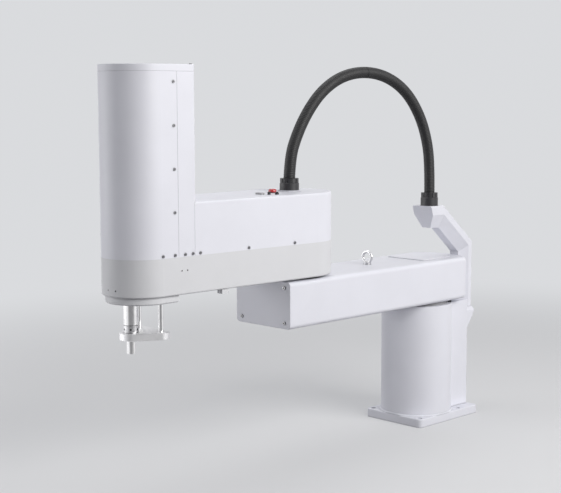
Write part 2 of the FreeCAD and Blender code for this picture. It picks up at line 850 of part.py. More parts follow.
def gland(label, along, rise, tall, foot="0"):
    """A cable gland: a round body on a spigot that passes down through the wall below it."""
    body = cylinder("gland_round", tall, along, "0", rise)
    document.recompute()
    rim = document.addObject("Part::Chamfer", "rim")
    rim.Base = body
    top = body.Placement.Base.z + number(tall)
    edge = int(edges_where(body.Shape, lambda e: all(abs(v.Z - top) < 0.01 for v in e.Vertexes))[0][4:])
    rim.Edges = [(edge, number("cast_edge"), number("cast_edge"))]
    spigot_drop = "(spigot_long + %s)" % foot
    spigot = cylinder("gland_spigot", spigot_drop, along, "0", "%s - %s" % (rise, spigot_drop))
    bore = cylinder("gland_bore", "%s + %s" % (tall, spigot_drop), along, "0",
                    "%s - %s" % (rise, spigot_drop))
    return name_part(label, cut(fused(rim, spigot), bore))


def gland_collar(label, along, rise, tall):
    """The gland's cap, with a ring of notches round its rim."""
    cap = cylinder("collar_round", tall, along, "0", rise)
    bore = cylinder("gland_bore", tall, along, "0", rise)
    notches = []
    for step in range(12):
        turn = "(%d * collar_notch)" % step
        notches.append(cylinder("notch_round", tall, "%s + collar_round * cos(%s)" % (along, turn),
                                "collar_round * sin(%s)" % turn, rise))
    return name_part(label, cut(cap, bore, *notches))


gland("base_gland", "-gland_back", "seat_rise", "gland_body")
gland_collar("base_gland_collar", "-gland_back", "(seat_rise + gland_body)", "collar_rise")

# Shoulder drive
motor_flange = block("motor_flange", "motor_flange", "flange_thick", rise="shelf_low - flange_thick")
motor_can = cylinder("motor_round", "motor_tall", rise="shelf_low - flange_thick - motor_tall")
motor_nose = cylinder("motor_round", "shelf_high - shelf_low", rise="shelf_low")
name_part("shoulder_motor", fused(motor_flange, motor_can, motor_nose))
reducer = cylinder("reducer_round", "column_top - shelf_high", rise="shelf_high")
HUB_FOOT = "(column_top - hub_deep)"
hub_bore = cylinder("hub_round", "hub_deep + swivel_gap", rise=HUB_FOOT + " - swivel_gap")
name_part("shoulder_reducer", cut(reducer, hub_bore))
SEAL_TALL = "inner_low - column_top - swivel_gap"
name_part("shoulder_seal", tube("seal_round", "seal_round - seal_wide", SEAL_TALL, rise="column_top"))
stops = []
for way in (1, -1):
    stop = document.addObject("Part::Box", "stop")
    stop.setExpression("Length", bound("stop_wide"))
    stop.setExpression("Width", bound("stop_long"))
    stop.setExpression("Height", bound(SEAL_TALL))
    angle = "(%d * (shoulder_range + stop_lead))" % way
    near_corner = "(stop_radius - stop_wide / 2)"
    stop.Placement = Placement(
        Vector(), Rotation(Vector(0, 0, 1), way * number("shoulder_range + stop_lead"))
    )
    set_place(stop, "%s * cos(%s) + stop_long / 2 * sin(%s)" % (near_corner, angle, angle),
              "%s * sin(%s) - stop_long / 2 * cos(%s)" % (near_corner, angle, angle), "column_top")
    stops.append(stop)
name_part("shoulder_stop_blocks", group(stops))

# Inner arm

inner = new_body("inner_arm_casting")
sketch = new_sketch(inner, lift="inner_low")
draw_outline(sketch, [
    ("inner_front", "-inner_half"),
    ("inner_front", "inner_half"),
    ("-" + TAIL_START, "inner_half"),
    ("-" + TAIL_START, "-inner_half", "inner_tail", "0", "0"),
])
pad(inner, sketch, "inner_high - inner_low")
soften(inner, "Fillet", "inner_corner", lambda e: upright_at(e, "-" + TAIL_START))
soften(
    inner,
    "Fillet",
    "inner_edge",
    lambda e: (flat_at(e, "inner_low") or flat_at(e, "inner_high"))
    and e.BoundBox.XMin < number("inner_front") - 1,
)
sketch = new_sketch(inner, "YZ_Plane", "inner_front")
draw_rounded_box(sketch, "inner_half - inner_wall", "inner_low + inner_floor",
                 "inner_high - inner_wall", "inner_edge - inner_wall")
pocket(inner, sketch, "inner_front + cavity_back")
for place in ("rib_first", "rib_second"):
    sketch = new_sketch(inner, "YZ_Plane", place)
    draw_rounded_box(sketch, "inner_half - inner_wall + 1", "inner_low + inner_floor - 1",
                     "inner_high - inner_wall + 1", "inner_edge - inner_wall + 1")
    draw_rounded_box(sketch, "inner_half - inner_wall - rib_frame",
                     "inner_low + inner_floor + rib_frame", "inner_high - inner_wall - rib_frame",
                     "inner_edge - inner_wall")
    pad(inner, sketch, "rib_thick")
END_SPOTS = [(sign + "end_screw_side", "%s %s end_screw_rise" % (INNER_MIDDLE, way))
             for sign in ("", "-") for way in ("+", "-")]
sketch = new_sketch(inner, "YZ_Plane", "inner_front")
for side, rise in END_SPOTS:
    draw_box(sketch, "%s - boss_size / 2" % side, "%s + boss_size / 2" % side,
             "%s - boss_size / 2" % rise, "%s + boss_size / 2" % rise)
pad(inner, sketch, "boss_deep", backward=True)
drill(inner, "YZ_Plane", "inner_front", END_SPOTS, "end_shank + drill_gap",
      "end_shank_long - end_plate_thick + 2")
sketch = new_sketch(inner, lift="inner_high")
draw_box(sketch, "hatch_lap - hatch_back", "hatch_front - hatch_lap", "hatch_lap - hatch_half",
         "hatch_half - hatch_lap")
pocket(inner, sketch, "inner_wall + 1")
drill(inner, "XY_Plane", "inner_high", [("arm_reach", "0")], "reducer_round + drill_gap",
      "inner_wall + 1")
drill(inner, "XY_Plane", "inner_high", [("eye_place", "0")], "eye_shank + drill_gap",
      "inner_wall + 1")
drill(inner, "XY_Plane", "inner_low", [("stop_radius", "0")], "stop_pin + run_fit",
      "inner_floor - 4", backward=True)

end_plate = new_body("inner_end_plate")
sketch = new_sketch(end_plate, "YZ_Plane", "inner_front")
draw_rounded_box(sketch, "inner_half", "inner_low", "inner_high", "inner_edge")
pad(end_plate, sketch, "end_plate_thick")
END_FACE = "inner_front + end_plate_thick"
soften(
    end_plate,
    "Fillet",
    "end_plate_edge",
    lambda e: all(near(vertex.X, END_FACE) for vertex in e.Vertexes),
)
drill(end_plate, "YZ_Plane", END_FACE, END_SPOTS, "end_shank + drill_gap", None)
end_screws = [screw("end", END_FACE, side, rise, TO_FRONT) for side, rise in END_SPOTS]
name_part("end_plate_screws", group(end_screws))

hatch = new_body("inner_hatch")
sketch = new_sketch(hatch, lift="inner_high")
draw_box(sketch, "-hatch_back", "hatch_front", "-hatch_half", "hatch_half")
pad(hatch, sketch, "hatch_thick")
soften(hatch, "Fillet", "hatch_corner", upright_at)
soften(hatch, "Chamfer", "hatch_thick / 3", lambda e: flat_at(e, "inner_high + hatch_thick"))
sketch = new_sketch(hatch, lift="inner_high")
lap = "(hatch_lap + 1)"
draw_box(sketch, lap + " - hatch_back", "hatch_front - " + lap, lap + " - hatch_half",
         "hatch_half - " + lap)
inner_lap = "(hatch_lap + 4)"
draw_box(sketch, inner_lap + " - hatch_back", "hatch_front - " + inner_lap,
         inner_lap + " - hatch_half", "hatch_half - " + inner_lap)
pad(hatch, sketch, "hatch_thick * 2", backward=True)

# Lifting eye: a ring across the arm on a collar and a shank
EYE_MIDDLE = "inner_high + eye_rise"
eye_ring = document.addObject("Part::Torus", "eye_ring")
eye_ring.setExpression("Radius1", bound("eye_round"))
eye_ring.setExpression("Radius2", bound("eye_wire"))
set_place(eye_ring, "eye_place", "0", EYE_MIDDLE, TO_FRONT)
eye_collar = cylinder("eye_collar", "eye_collar_thick", "eye_place", "0", "inner_high")
eye_shank = cylinder("eye_shank", "eye_shank_long + 1", "eye_place", "0",
                     "inner_high - eye_shank_long")
name_part("lifting_eye", fused(eye_ring, eye_collar, eye_shank))

FLANGE_LOW = "(column_top + swivel_gap)"
shoulder_disc = cylinder("shoulder_disc", "inner_low - " + FLANGE_LOW, rise=FLANGE_LOW)
shoulder_hub = cylinder("hub_round - run_fit", "inner_low - " + HUB_FOOT, rise=HUB_FOOT)
name_part("shoulder_flange", fused(shoulder_disc, shoulder_hub))
name_part("shoulder_stop_pin",
          cylinder("stop_pin", "inner_low - %s + inner_floor - 4" % FLANGE_LOW, "stop_radius",
                   rise=FLANGE_LOW))

ELBOW_TOP = "(outer_low - swivel_gap)"
elbow_case = cylinder("reducer_round", "elbow_reducer_tall", "arm_reach",
                      rise=ELBOW_TOP + " - elbow_reducer_tall")
elbow_rim = cylinder("elbow_flange", "elbow_flange_thick", "arm_reach",
                     rise="inner_high - inner_wall - elbow_flange_thick")
elbow_bore = cylinder("hub_round", "elbow_hub_deep + swivel_gap", "arm_reach",
                      rise=ELBOW_TOP + " - elbow_hub_deep - swivel_gap")
name_part("elbow_reducer", cut(fused(elbow_case, elbow_rim), elbow_bore))
name_part("elbow_seal", tube("seal_round", "seal_round - seal_wide",
                             "outer_low - inner_high - seal_lip", "arm_reach", rise="inner_high"))

# Outer arm. Its bodies stand on the elbow axis.

SPLIT_SPOTS = ["(outer_reach - cover_screw_%s)" % letter for letter in "abcdef"]
SPLIT_SPOTS.append("cover_screw_g")
COVER_SCREW_RISE = "(outer_split + cover_screw_rise)"
ARM_LEAN = math.degrees(math.asin(number(LEAN)))


def side_tool(radius, deep, along, way, rise, lift="0"):
    """A cylinder that starts on the outer arm's side wall and runs inwards."""
    turn = Rotation(Vector(0, 0, 1), -way * ARM_LEAN).multiply(
        Rotation(Vector(1, 0, 0), way * 90)
    )
    return cylinder(radius, deep, "arm_reach + %s" % along,
                    "%d * (%s + %s)" % (way, side_at(along), lift), rise, turn)


def side_screw(along, way, rise):
    turn = Rotation(Vector(0, 0, 1), -way * ARM_LEAN).multiply(
        Rotation(Vector(1, 0, 0), -way * 90)
    )
    return screw("cover", "arm_reach + %s" % along, "%d * %s" % (way, side_at(along)), rise, turn)


def side_holes(places):
    return [side_tool("cover_shank + drill_gap", "cover_shank_long + 1", along, way, rise, "0.5")
            for along, rise in places for way in (1, -1)]


def hidden_body(label):
    """A body that a later cut turns into the part."""
    body = new_body(label, "arm_reach")
    del parts[label]
    return body


tub = hidden_body("tub_body")
sketch = new_sketch(tub, lift="outer_low")
draw_arm(sketch)
pad(tub, sketch, "outer_split - outer_low")
soften(tub, "Fillet", "tub_edge", lambda e: flat_at(e, "outer_low"))
sketch = new_sketch(tub, lift="outer_split")
draw_arm(sketch, "tub_wall")
pocket(tub, sketch, "outer_split - outer_low - tub_floor")
sketch = new_sketch(tub, lift="outer_split")
draw_arm(sketch, "cover_wall + seam_gap")
draw_arm(sketch, "tub_wall")
pad(tub, sketch, "tongue_rise")
drill(tub, "XY_Plane", TUB_TOP_FLOOR, [("0", "0")], "hub_round", None)
drill(tub, "XY_Plane", TUB_TOP_FLOOR, [("outer_reach", "0")], "quill_bush_round + run_fit", None)
ROD_SPOTS = [("outer_reach - rod_back", sign + "rod_side") for sign in ("", "-")]
drill(tub, "XY_Plane", TUB_TOP_FLOOR, ROD_SPOTS, "bush_round + run_fit", None)
tap_tools = [side_tool("tap_round", "tap_deep + 1", along, 1, "tap_rise", "1")
             for along in ("tap_first", "(tap_first + tap_pitch)")]
for turn in ("nose_tap_turn", "(nose_tap_turn + nose_tap_step)"):
    deep = "(outer_nose - tap_deep)"
    tap_tools.append(cylinder(
        "tap_round", "tap_deep + 1",
        "tool_axis - nose_back + %s * cos(%s)" % (deep, turn), "%s * sin(%s)" % (deep, turn),
        "outer_low + nose_tap_low",
        Rotation(Vector(0, 0, 1), number(turn)).multiply(TO_FRONT),
    ))
split_places = [(along, COVER_SCREW_RISE) for along in SPLIT_SPOTS]
name_part("outer_arm_tub", cut(tub, *tap_tools, *side_holes(split_places)))

rear_cover = hidden_body("rear_cover_body")
sketch = new_sketch(rear_cover, lift="outer_split")
draw_arm(sketch, front="(lap_place - seam_gap)")
pad(rear_cover, sketch, "rear_cover_top - outer_split")
soften(
    rear_cover,
    "Fillet",
    "rear_cover_edge",
    lambda e: flat_at(e, "rear_cover_top") and e.BoundBox.XMin < number("lap_place") - 2,
)
sketch = new_sketch(rear_cover, lift="outer_split")
draw_arm(sketch, "cover_wall", front="(lap_place - seam_gap)")
pocket(rear_cover, sketch, "rear_cover_top - cover_wall - outer_split", backward=True)
drill(rear_cover, "XY_Plane", "rear_cover_top", [("0", "0")], "gland_spigot + drill_gap",
      "cover_wall + 1")
drill(rear_cover, "XY_Plane", "rear_cover_top", [("button_along", "button_side")],
      "button_round + bezel_wall + drill_gap", "cover_wall + 1")
name_part("rear_cover", cut(rear_cover, *side_holes(split_places[4:])))

SEAM_PLACES = [("seam_screw_along", "(seam_screw_low + %d * seam_screw_pitch)" % step)
               for step in range(4)]
tall_rear = hidden_body("tall_rear_body")
sketch = new_sketch(tall_rear, lift="outer_split")
draw_arm(sketch, back="tall_back", front="tall_seam")
pad(tall_rear, sketch, "tall_lid_low - outer_split")
soften(tall_rear, "Fillet", "tall_corner", lambda e: upright_at(e, "tall_back"))
sketch = new_sketch(tall_rear, lift="outer_split")
draw_arm(sketch, "cover_wall", back="(tall_back + cover_wall)", front="(tall_seam + 1)")
pocket(tall_rear, sketch, "tall_lid_low - outer_split + 1", backward=True)
sketch = new_sketch(tall_rear, lift="outer_split")
draw_box(sketch, "tall_back - 1", "lap_place", "-outer_tail", "outer_tail")
pocket(tall_rear, sketch, "rear_cover_top + seam_gap - outer_split", backward=True)
name_part("tall_rear_cover", cut(tall_rear, *side_holes(split_places[2:4])))

tall_front = hidden_body("tall_front_body")
sketch = new_sketch(tall_front, lift="outer_split")
draw_arm(sketch, back="(tall_seam + seam_gap)")
pad(tall_front, sketch, "tall_lid_low - outer_split")
sketch = new_sketch(tall_front, lift="outer_split")
draw_arm(sketch, "cover_wall", back="(tall_seam + seam_gap - 1)")
pocket(tall_front, sketch, "tall_lid_low - outer_split + 1", backward=True)
name_part("tall_front_cover", cut(tall_front, *side_holes(split_places[:2] + SEAM_PLACES)))

lid = new_body("tall_lid", "arm_reach")
sketch = new_sketch(lid, lift="tall_lid_low")
draw_arm(sketch, back="tall_back")
pad(lid, sketch, "tall_top - tall_lid_low")
soften(lid, "Fillet", "tall_corner", lambda e: upright_at(e, "tall_back"))
soften(lid, "Fillet", "lid_edge", lambda e: flat_at(e, "tall_top"))
soften(lid, "Chamfer", "seam_gap", lambda e: flat_at(e, "tall_lid_low"))
sketch = new_sketch(lid, lift="tall_lid_low")
draw_arm(sketch, "cover_wall * 2", back="(tall_back + cover_wall * 2)")
pocket(lid, sketch, "tall_top - cover_wall - tall_lid_low", backward=True)
LID_SIDE = "(%s - lid_screw_inset)" % side_at("lid_screw_along")
LID_SPOTS = [("lid_screw_along", sign + LID_SIDE) for sign in ("", "-")]
sketch = new_sketch(lid, lift="tall_lid_low")
for along, side in LID_SPOTS:
    draw_circle(sketch, along, side, "cover_shank + 4")
pad(lid, sketch, "tall_top - tall_lid_low - 1")
drill(lid, "XY_Plane", "tall_top", LID_SPOTS, "cover_shank + drill_gap", "cover_shank_long + 1")

name_part("lid_screws", group([screw("cover", "arm_reach + " + along, side, "tall_top", TO_UP)
                               for along, side in LID_SPOTS]))
name_part("cover_screws", group([side_screw(along, way, rise)
                                 for along, rise in split_places for way in (1, -1)]))
name_part("seam_screws", group([side_screw(along, way, rise)
                                for along, rise in SEAM_PLACES for way in (1, -1)]))

mouth = new_body("quill_mouth", "arm_reach")
sketch = new_sketch(mouth, lift="mouth_low")
draw_outline(sketch, [
    ("mouth_back", "-mouth_round"),
    ("nose_place", "-mouth_round"),
    ("nose_place", "mouth_round", "mouth_round", "nose_place", "0"),
    ("mouth_back", "mouth_round"),
])
pad(mouth, sketch, "outer_low - mouth_low")
soften(mouth, "Chamfer", "mouth_edge", lambda e: flat_at(e, "mouth_low"))
drill(mouth, "XY_Plane", "outer_low", [("outer_reach", "0")], "quill_bush_round + run_fit", None)
drill(mouth, "XY_Plane", "outer_low", ROD_SPOTS, "bush_round + run_fit", None)

ROD_PLACE = "tool_axis - rod_back"
BUSH_TALL = "bush_high - bush_low"
name_part("rod_bushings", group([
    tube("bush_round", "rod_round + run_fit", BUSH_TALL, ROD_PLACE, sign + "rod_side", "bush_low")
    for sign in ("", "-")
]))
name_part("quill_bushing", tube("quill_bush_round", "quill_round + run_fit", BUSH_TALL,
                                "tool_axis", rise="bush_low"))

elbow_disc = cylinder("elbow_disc", "mast_foot", "arm_reach", rise=TUB_TOP_FLOOR)
ELBOW_HUB_FOOT = ELBOW_TOP + " - elbow_hub_deep"
elbow_post = cylinder("hub_round - run_fit", TUB_TOP_FLOOR + " - (%s)" % ELBOW_HUB_FOOT,
                      "arm_reach", rise=ELBOW_HUB_FOOT)
name_part("elbow_hub", fused(elbow_disc, elbow_post))
MOTOR_SEAT = "(%s + mast_foot)" % TUB_TOP_FLOOR
elbow_flange = block("elbow_motor_flange", "elbow_motor_flange", "flange_thick", "arm_reach",
                     rise=MOTOR_SEAT)
elbow_can = cylinder("elbow_motor_round", "elbow_motor_tall", "arm_reach", rise=MOTOR_SEAT)
name_part("elbow_motor", fused(elbow_flange, elbow_can))
name_part("elbow_stop_blocks", group([
    block("block_far - block_near", "block_outer - block_inner", "outer_low - block_low",
          "arm_reach + (block_near + block_far) / 2",
          "%d * (block_inner + block_outer) / 2" % way, "block_low")
    for way in (1, -1)
]))

GLAND_SEAT = "(rear_cover_top + gland_plate_thick)"
name_part("gland_plate", tube("gland_plate_round", "gland_spigot + drill_gap",
                              "gland_plate_thick", "arm_reach", rise="rear_cover_top"))
gland("arm_gland", "arm_reach", GLAND_SEAT, "arm_gland_body", "gland_plate_thick")
gland_collar("arm_gland_collar", "arm_reach", "(%s + arm_gland_body)" % GLAND_SEAT,
             "arm_collar_rise")

LAMP_PLACE = "arm_reach + lamp_along"
name_part("lamp_base", cylinder("lamp_round + lamp_foot", "lamp_foot", LAMP_PLACE, "lamp_side",
                                "rear_cover_top"))
lamp = new_body("indicator_lamp", LAMP_PLACE, "lamp_side", "rear_cover_top + lamp_foot")
sketch = new_sketch(lamp)
draw_circle(sketch, "0", "0", "lamp_round")
pad(lamp, sketch, "lamp_rise")
soften(lamp, "Fillet", "lamp_edge", lambda e: flat_at(e, "lamp_rise"))

BUTTON_PLACE = "arm_reach + button_along"
bezel_rim = cylinder("bezel_round", "bezel_rise", BUTTON_PLACE, "button_side", "rear_cover_top")
bezel_barrel = cylinder("button_round + bezel_wall", "spigot_long", BUTTON_PLACE, "button_side",
                        "rear_cover_top - spigot_long")
bezel_bore = cylinder("button_round + run_fit", "spigot_long + bezel_rise", BUTTON_PLACE,
                      "button_side", "rear_cover_top - spigot_long + bezel_floor")
name_part("button_bezel", cut(fused(bezel_rim, bezel_barrel), bezel_bore))
BUTTON_FOOT = "(rear_cover_top - spigot_long + bezel_floor + button_travel + swivel_gap)"
name_part("brake_button", cylinder("button_round", "rear_cover_top + button_rise - " + BUTTON_FOOT,
                                   BUTTON_PLACE, "button_side", BUTTON_FOOT))

FITTING_PLACE = "arm_reach + fitting_along"
fitting_body = cylinder("fitting_round", "fitting_rise", FITTING_PLACE, "fitting_side",
                        "rear_cover_top")
fitting_hole = cylinder("fitting_bore", "fitting_rise", FITTING_PLACE, "fitting_side",
                        "rear_cover_top + fitting_rise / 4")
name_part("arm_air_fitting", cut(fitting_body, fitting_hole))
socket_shell = block("socket_wide", "socket_long", "socket_rise", "arm_reach + socket_along",
                     "socket_side", "rear_cover_top")
socket_slot = block("socket_wide / 2", "socket_long - socket_wide / 2", "socket_rise",
                    "arm_reach + socket_along", "socket_side",
                    "rear_cover_top + socket_rise / 2")
name_part("arm_socket", cut(socket_shell, socket_slot))

# Vertical axis: mast, screw and its drive stay with the outer arm

mast = new_body("axis_mast", "arm_reach")
sketch = new_sketch(mast, "XZ_Plane")
draw_outline(sketch, [
    ("mast_back", TUB_TOP_FLOOR),
    ("mast_foot_front", TUB_TOP_FLOOR),
    ("mast_foot_front", MOTOR_SEAT),
    ("mast_back + mast_thick", MOTOR_SEAT),
    ("mast_back + mast_thick", "mast_head_low"),
    ("mast_head_front", "mast_head_low"),
    ("mast_head_front", "mast_head_low + mast_foot"),
    ("mast_back", "mast_head_low + mast_foot"),
])
pad(mast, sketch, "2 * mast_half", symmetric=True)
SCREW_SPOT = [("outer_reach - lead_screw_back", "0")]
drill(mast, "XY_Plane", "mast_head_low + mast_foot", SCREW_SPOT, "bearing_round", None)

SCREW_AXIS = "screw_axis"
HEAD_TOP = "(mast_head_low + mast_foot)"
name_part("screw_bearings", group([
    tube("bearing_round", "journal_round + run_fit", "mast_foot", SCREW_AXIS, rise=rise)
    for rise in (TUB_TOP_FLOOR, "mast_head_low")
]))
SCREW_LOW = "(%s + swivel_gap)" % MOTOR_SEAT
SCREW_HIGH = "(mast_head_low - swivel_gap)"
screw_thread = cylinder("lead_screw_round", SCREW_HIGH + " - " + SCREW_LOW, SCREW_AXIS,
                        rise=SCREW_LOW)
screw_journal = cylinder("journal_round", SCREW_HIGH + " - " + SCREW_LOW + " + 2 * journal_long",
                         SCREW_AXIS, rise=SCREW_LOW + " - journal_long")
name_part("lead_screw", fused(screw_thread, screw_journal))
name_part("lift_motor", block("lift_motor_wide", "lift_motor_wide", "lift_motor_tall", SCREW_AXIS,
                              rise=HEAD_TOP))

# Carriage: slides on the guide rods, carries the quill, the tool drive and the link plate

carriage = new_body("carriage_plate", "arm_reach")
sketch = new_sketch(carriage, lift="carriage_low")
draw_box(sketch, "carriage_back", "carriage_front", "-carriage_half", "carriage_half")
pad(carriage, sketch, "carriage_thick")
soften(carriage, "Fillet", "carriage_corner", upright_at)
drill(carriage, "XY_Plane", "quill_top", [("outer_reach", "0")], "quill_round + run_fit", None)
drill(carriage, "XY_Plane", "quill_top", SCREW_SPOT, "nut_round + run_fit", None)
drill(carriage, "XY_Plane", "quill_top", ROD_SPOTS, "rod_round + run_fit", None)

NUT_LOW = "(carriage_low - nut_drop)"
nut_case = cylinder("nut_round", "quill_top - " + NUT_LOW, SCREW_AXIS, rise=NUT_LOW)
nut_rim = cylinder("nut_flange", "nut_flange_thick", SCREW_AXIS,
                   rise="carriage_low - nut_flange_thick")
nut_hole = cylinder("lead_screw_round + run_fit", "quill_top - " + NUT_LOW, SCREW_AXIS,
                    rise=NUT_LOW)
name_part("ball_nut", cut(fused(nut_case, nut_rim), nut_hole))

ROD_LOW = "(link_low + rod_seat)"
name_part("guide_rods", group([
    cylinder("rod_round", "quill_top - " + ROD_LOW, ROD_PLACE, sign + "rod_side", ROD_LOW)
    for sign in ("", "-")
]))
name_part("quill", tube("quill_round", "tool_round + run_fit", "quill_top - quill_low",
                        "tool_axis", rise="quill_low"))
ring_case = cylinder("ring_round", "ring_tall", "tool_axis", rise="ring_low")
ring_top = cylinder("ring_neck", "quill_low - ring_low", "tool_axis", rise="ring_low")
ring_hole = cylinder("tool_round + run_fit", "quill_low - ring_low", "tool_axis",
                     rise="ring_low")
ring_taps = [
    cylinder("set_screw", "ring_round - tool_round / 2",
             "tool_axis + tool_round / 2 * cos(set_screw_turn + %d)" % turn,
             "tool_round / 2 * sin(set_screw_turn + %d)" % turn,
             "ring_low + ring_tall / 2",
             Rotation(Vector(0, 0, 1), number("set_screw_turn") + turn).multiply(TO_FRONT))
    for turn in range(0, 360, 60)
]
name_part("quill_collar", cut(fused(ring_case, ring_top), ring_hole, *ring_taps))

link = new_body("link_plate", "tool_axis")
LINK_TURN = ("(180 deg - atan(rod_side / rod_back) - "
             "acos((link_front_round - link_rear_round) / sqrt(rod_back ^ 2 + rod_side ^ 2)))")
TOUCH_X, TOUCH_Y = "cos%s" % LINK_TURN, "sin%s" % LINK_TURN
front_touch = ("link_front_round * " + TOUCH_X, "link_front_round * " + TOUCH_Y)
rear_touch = ("link_rear_round * %s - rod_back" % TOUCH_X,
              "(rod_side + link_rear_round * %s)" % TOUCH_Y)
sketch = new_sketch(link, lift="link_low")
draw_outline(sketch, [
    (front_touch[0], "-" + front_touch[1]),
    (front_touch[0], front_touch[1], "link_front_round", "0", "0"),
    rear_touch,
    ("-rod_back - link_rear_round", "rod_side", "link_rear_round", "-rod_back", "rod_side"),
    ("-rod_back - link_rear_round", "-rod_side"),
    (rear_touch[0], "-" + rear_touch[1], "link_rear_round", "-rod_back", "-rod_side"),
])
pad(link, sketch, "link_thick")
soften(link, "Chamfer", "link_edge",
       lambda e: flat_at(e, "link_low") or flat_at(e, "link_low + link_thick"))
drill(link, "XY_Plane", "ring_low", [("0", "0")], "tool_round + run_fit", None)
drill(link, "XY_Plane", "ring_low", [("-rod_back", sign + "rod_side") for sign in ("", "-")],
      "rod_round + run_fit", "link_thick - rod_seat")

name_part("tool_motor", cylinder("tool_motor_round", "tool_motor_tall", "tool_axis",
                                 rise="quill_top"))

shaft = new_body("tool_shaft", "tool_axis")
sketch = new_sketch(shaft, lift="tool_low")
draw_circle(sketch, "0", "0", "tool_round")
pad(shaft, sketch, "quill_top - swivel_gap - tool_low")
soften(shaft, "Chamfer", "tool_edge", lambda e: flat_at(e, "tool_low"))
sketch = new_sketch(shaft, lift="link_low - shaft_groove_drop")
draw_circle(sketch, "0", "0", "tool_round + 1")
draw_circle(sketch, "0", "0", "tool_round - shaft_groove_deep")
pocket(shaft, sketch, "shaft_groove_wide")

# Cable conduit: straight runs in the plane y = 0 joined by tangent arcs

CONDUIT_ROUTE = [
    (-62, 753),
    (-62, 835),
    (-49, 922),
    (-8, 1012),
    (65, 1091),
    (163, 1137),
    (270, 1151),
    (370, 1132),
    (462, 1089),
    (532, 1026),
    (580, 957),
    (600, 893),
    (600, 831),
]


def draw_route(sketch, route):
    """Draw the runs and their arcs. Gives back the arcs' radii and the whole length."""
    points = [Vector(x, z, 0) for x, z in route]
    runs = [b - a for a, b in zip(points, points[1:])]
    place, radii, length = points[0], [], 0.0
    for step in range(1, len(runs)):
        one, two = runs[step - 1], runs[step]
        turn = one.getAngle(two)
        reach = 0.45 * min(one.Length, two.Length)
        corner = points[step]
        start = corner - one * (reach / one.Length)
        end = corner + two * (reach / two.Length)
        radius = reach / math.tan(turn / 2)
        middle = (start + end) * 0.5
        bow = (corner - middle).normalize() * (radius * (1 - math.cos(turn / 2)))
        through = middle + bow
        sketch.addGeometry(Part.LineSegment(place, start), False)
        sketch.addGeometry(Part.Arc(start, through, end), False)
        length += (start - place).Length + radius * turn
        radii.append(radius)
        place = end
    sketch.addGeometry(Part.LineSegment(place, points[-1]), False)
    return radii, length + (points[-1] - place).Length


conduit = new_body("cable_conduit")
spine = new_sketch(conduit, "XZ_Plane")
radii, conduit_length = draw_route(spine, CONDUIT_ROUTE)
profile = new_sketch(conduit, lift="seat_rise + gland_body + collar_rise")
draw_circle(profile, "-gland_back", "0", "conduit_round")
document.recompute()
pipe = conduit.newObject("PartDesign::AdditivePipe", "pipe")
pipe.Profile = profile
pipe.Spine = (spine, ["Edge%d" % (i + 1) for i in range(spine.GeometryCount)])
document.recompute()

print("conduit bend radii:", " ".join("%.0f" % radius for radius in radii))
hose_area = math.pi * number("conduit_round") ** 2
print("conduit length %.1f, volume %.0f of %.0f"
      % (conduit_length, conduit.Shape.Volume, hose_area * conduit_length))

document.recompute()
for item in document.Objects:
    if "Invalid" in item.State or "Error" in item.State:
        raise RuntimeError("%s (%s) is in error" % (item.Label, item.Name))
for label, part in parts.items():
    if part.Shape.isNull() or not part.Shape.isValid():
        raise RuntimeError("%s has no valid shape" % label)

os.makedirs("parts", exist_ok=True)
for label, part in parts.items():
    part.Shape.exportStep("parts/%s.step" % label)
print("parts:", len(parts))
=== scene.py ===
import bpy
import math
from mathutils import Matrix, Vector


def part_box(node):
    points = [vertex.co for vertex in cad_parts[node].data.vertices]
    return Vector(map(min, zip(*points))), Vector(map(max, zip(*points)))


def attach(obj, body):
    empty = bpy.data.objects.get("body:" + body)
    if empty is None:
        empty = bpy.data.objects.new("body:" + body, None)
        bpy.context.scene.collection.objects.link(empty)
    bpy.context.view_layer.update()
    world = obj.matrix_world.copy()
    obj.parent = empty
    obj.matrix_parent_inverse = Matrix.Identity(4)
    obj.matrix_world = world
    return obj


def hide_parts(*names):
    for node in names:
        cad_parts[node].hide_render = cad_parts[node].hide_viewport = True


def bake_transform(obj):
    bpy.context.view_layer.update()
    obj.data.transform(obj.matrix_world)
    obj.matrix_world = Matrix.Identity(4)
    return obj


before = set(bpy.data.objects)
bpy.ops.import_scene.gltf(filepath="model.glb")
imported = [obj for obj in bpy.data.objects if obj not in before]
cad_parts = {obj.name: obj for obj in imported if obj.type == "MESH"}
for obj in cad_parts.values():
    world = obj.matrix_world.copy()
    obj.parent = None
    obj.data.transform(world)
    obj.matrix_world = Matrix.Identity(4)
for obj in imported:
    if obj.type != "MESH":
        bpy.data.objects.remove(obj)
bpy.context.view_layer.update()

# Lengths are in metres and angles in degrees, unless a comment says otherwise.
# The arm points along +x, and the camera looks at its +y side.

# Camera: the photograph's own viewpoint, fitted to the robot's edges
SENSOR_WIDTH = 36.0                    # millimetres, as the lens
LENS = 80.71
SHIFT_UP = 0.0028                      # share of the sensor's width
NEAREST, FURTHEST = 0.05, 60.0
EYE = (3.2412, 2.6452, 1.0587)
EYE_TURNS = (83.331, 0.189, 135.434)

camera_data = bpy.data.cameras.new("camera")
camera_data.sensor_width = SENSOR_WIDTH
camera_data.lens = LENS
camera_data.shift_y = SHIFT_UP
camera_data.clip_start = NEAREST
camera_data.clip_end = FURTHEST
camera = bpy.data.objects.new("camera", camera_data)
camera.location = EYE
camera.rotation_euler = [math.radians(a) for a in EYE_TURNS]
bpy.context.scene.collection.objects.link(camera)
bpy.context.scene.camera = camera

